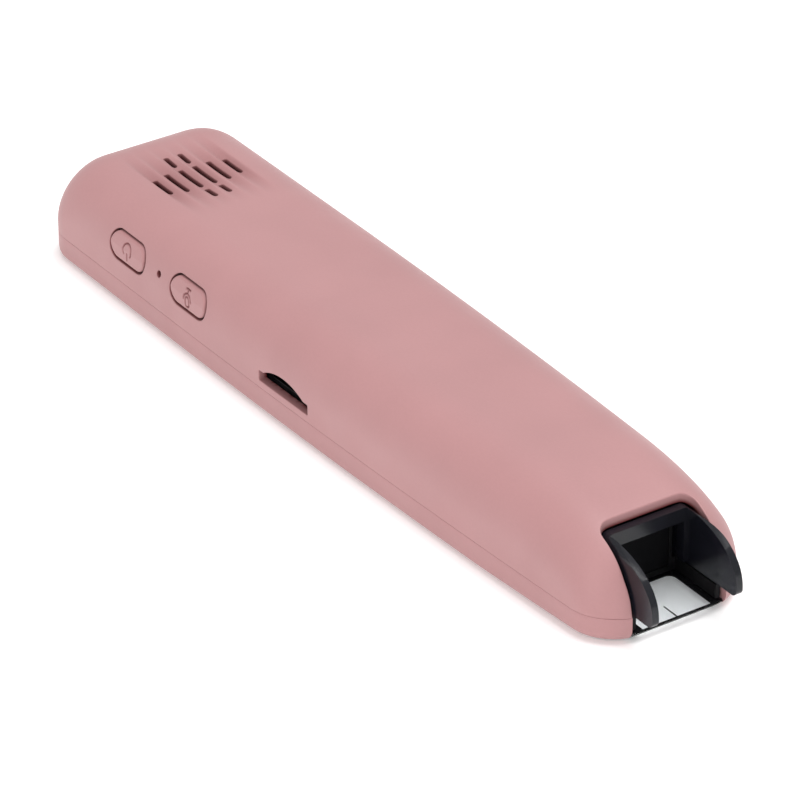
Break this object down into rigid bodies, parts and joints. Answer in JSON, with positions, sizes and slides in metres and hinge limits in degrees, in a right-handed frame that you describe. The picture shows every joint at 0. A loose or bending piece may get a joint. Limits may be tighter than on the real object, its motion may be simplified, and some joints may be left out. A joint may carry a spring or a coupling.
{
  "type": "scanning reader pen",
  "caption": "Pocket scanning reader pen with an open scan head and smoky hood, speaker grille, side buttons, card slot and screen glass underneath.",
  "frame": {"origin": "under the middle of the whole pen, on the surface that its screen glass lies on", "axes": "+X along the pen from the speaker end to the scan tip, +Z from the screen glass up to the back, and the buttons are on the -Y side"},
  "size_m": [0.14, 0.0304, 0.0158],
  "materials": {
    "shell_plastic": "soft-touch matte, dusty pink",
    "frame_plastic": "soft-touch matte, dusty pink",
    "pane_glass": "polished, clear",
    "mask_film": "black print behind the glass",
    "display_glass": "dark, switched-off display",
    "light_guide": "white, satin",
    "flex_circuit": "amber flexible circuit",
    "chassis_steel": "stamped, satin",
    "circuit_board": "black solder mask",
    "chip_plastic": "matte black moulding",
    "shield_steel": "tinned, satin",
    "screw_steel": "machined",
    "cell_foil": "pouch foil, satin",
    "foam": "closed-cell foam",
    "white_plastic": "natural white",
    "black_plastic": "moulded black",
    "cone_film": "thin black film",
    "mesh_fabric": "fine woven dust mesh",
    "switch_steel": "stamped",
    "boot_rubber": "matte",
    "socket_steel": "dark, stamped",
    "port_steel": "drawn, satin",
    "smoke_plastic": "smoky black, slightly see-through, fine satin",
    "spring_steel": "drawn wire",
    "baffle_plastic": "dead matt black",
    "filter_glass": "nearly black filter glass",
    "camera_board_plate": "black solder mask",
    "lens_glass": "coated",
    "led_resin": "clear resin over yellow phosphor"
  },
  "bodies": {
    "housing": {"rear_shell": "shell_plastic", "front_frame": "frame_plastic", "cover_glass": "pane_glass", "glass_mask": "mask_film", "lcd_panel": "display_glass", "lcd_backlight": "light_guide", "display_cable": "flex_circuit", "mid_frame": "chassis_steel", "main_board": "circuit_board", "processor_chip": "chip_plastic", "memory_chip": "chip_plastic", "radio_shield": "shield_steel", "screw_1": "screw_steel", "screw_2": "screw_steel", "screw_3": "screw_steel", "screw_4": "screw_steel", "antenna_flex": "flex_circuit", "battery_cell": "cell_foil", "battery_board": "circuit_board", "battery_pad": "foam", "battery_connector": "white_plastic", "speaker_driver": "black_plastic", "speaker_cone": "cone_film", "speaker_gasket": "foam", "speaker_mesh": "mesh_fabric", "power_switch": "switch_steel", "voice_switch": "switch_steel", "key_board": "circuit_board", "microphone": "switch_steel", "mic_boot": "boot_rubber", "card_socket": "socket_steel", "usb_board": "circuit_board", "usb_socket": "port_steel", "usb_tongue": "black_plastic", "hood_spring_left": "spring_steel", "hood_spring_right": "spring_steel", "optics_baffle": "baffle_plastic", "optics_window": "filter_glass", "trigger_board": "circuit_board", "trigger_switch": "black_plastic", "camera_board": "camera_board_plate", "camera_barrel": "baffle_plastic", "camera_lens": "lens_glass", "led_board": "camera_board_plate", "led_left": "led_resin", "led_right": "led_resin"},
    "power_key": {"power_button": "shell_plastic", "power_stem": "white_plastic"},
    "voice_key": {"voice_button": "shell_plastic", "voice_stem": "white_plastic"},
    "hood": {"scan_hood": "smoke_plastic"}
  },
  "joints": [
    {"name": "power_press", "type": "slide", "parent": "housing", "child": "power_key", "axis": [0, 1, 0], "range_m": [0, 0.0004], "stiffness_N_per_m": 3000, "springref_m": -0.0002},
    {"name": "voice_press", "type": "slide", "parent": "housing", "child": "voice_key", "axis": [0, 1, 0], "range_m": [0, 0.0004], "stiffness_N_per_m": 3000, "springref_m": -0.0002},
    {"name": "hood_press", "type": "slide", "parent": "housing", "child": "hood", "axis": [-1, 0, 0], "range_m": [0, 0.001], "stiffness_N_per_m": 500, "springref_m": -0.001, "deforming": ["hood_spring_left", "hood_spring_right"]}
  ]
}
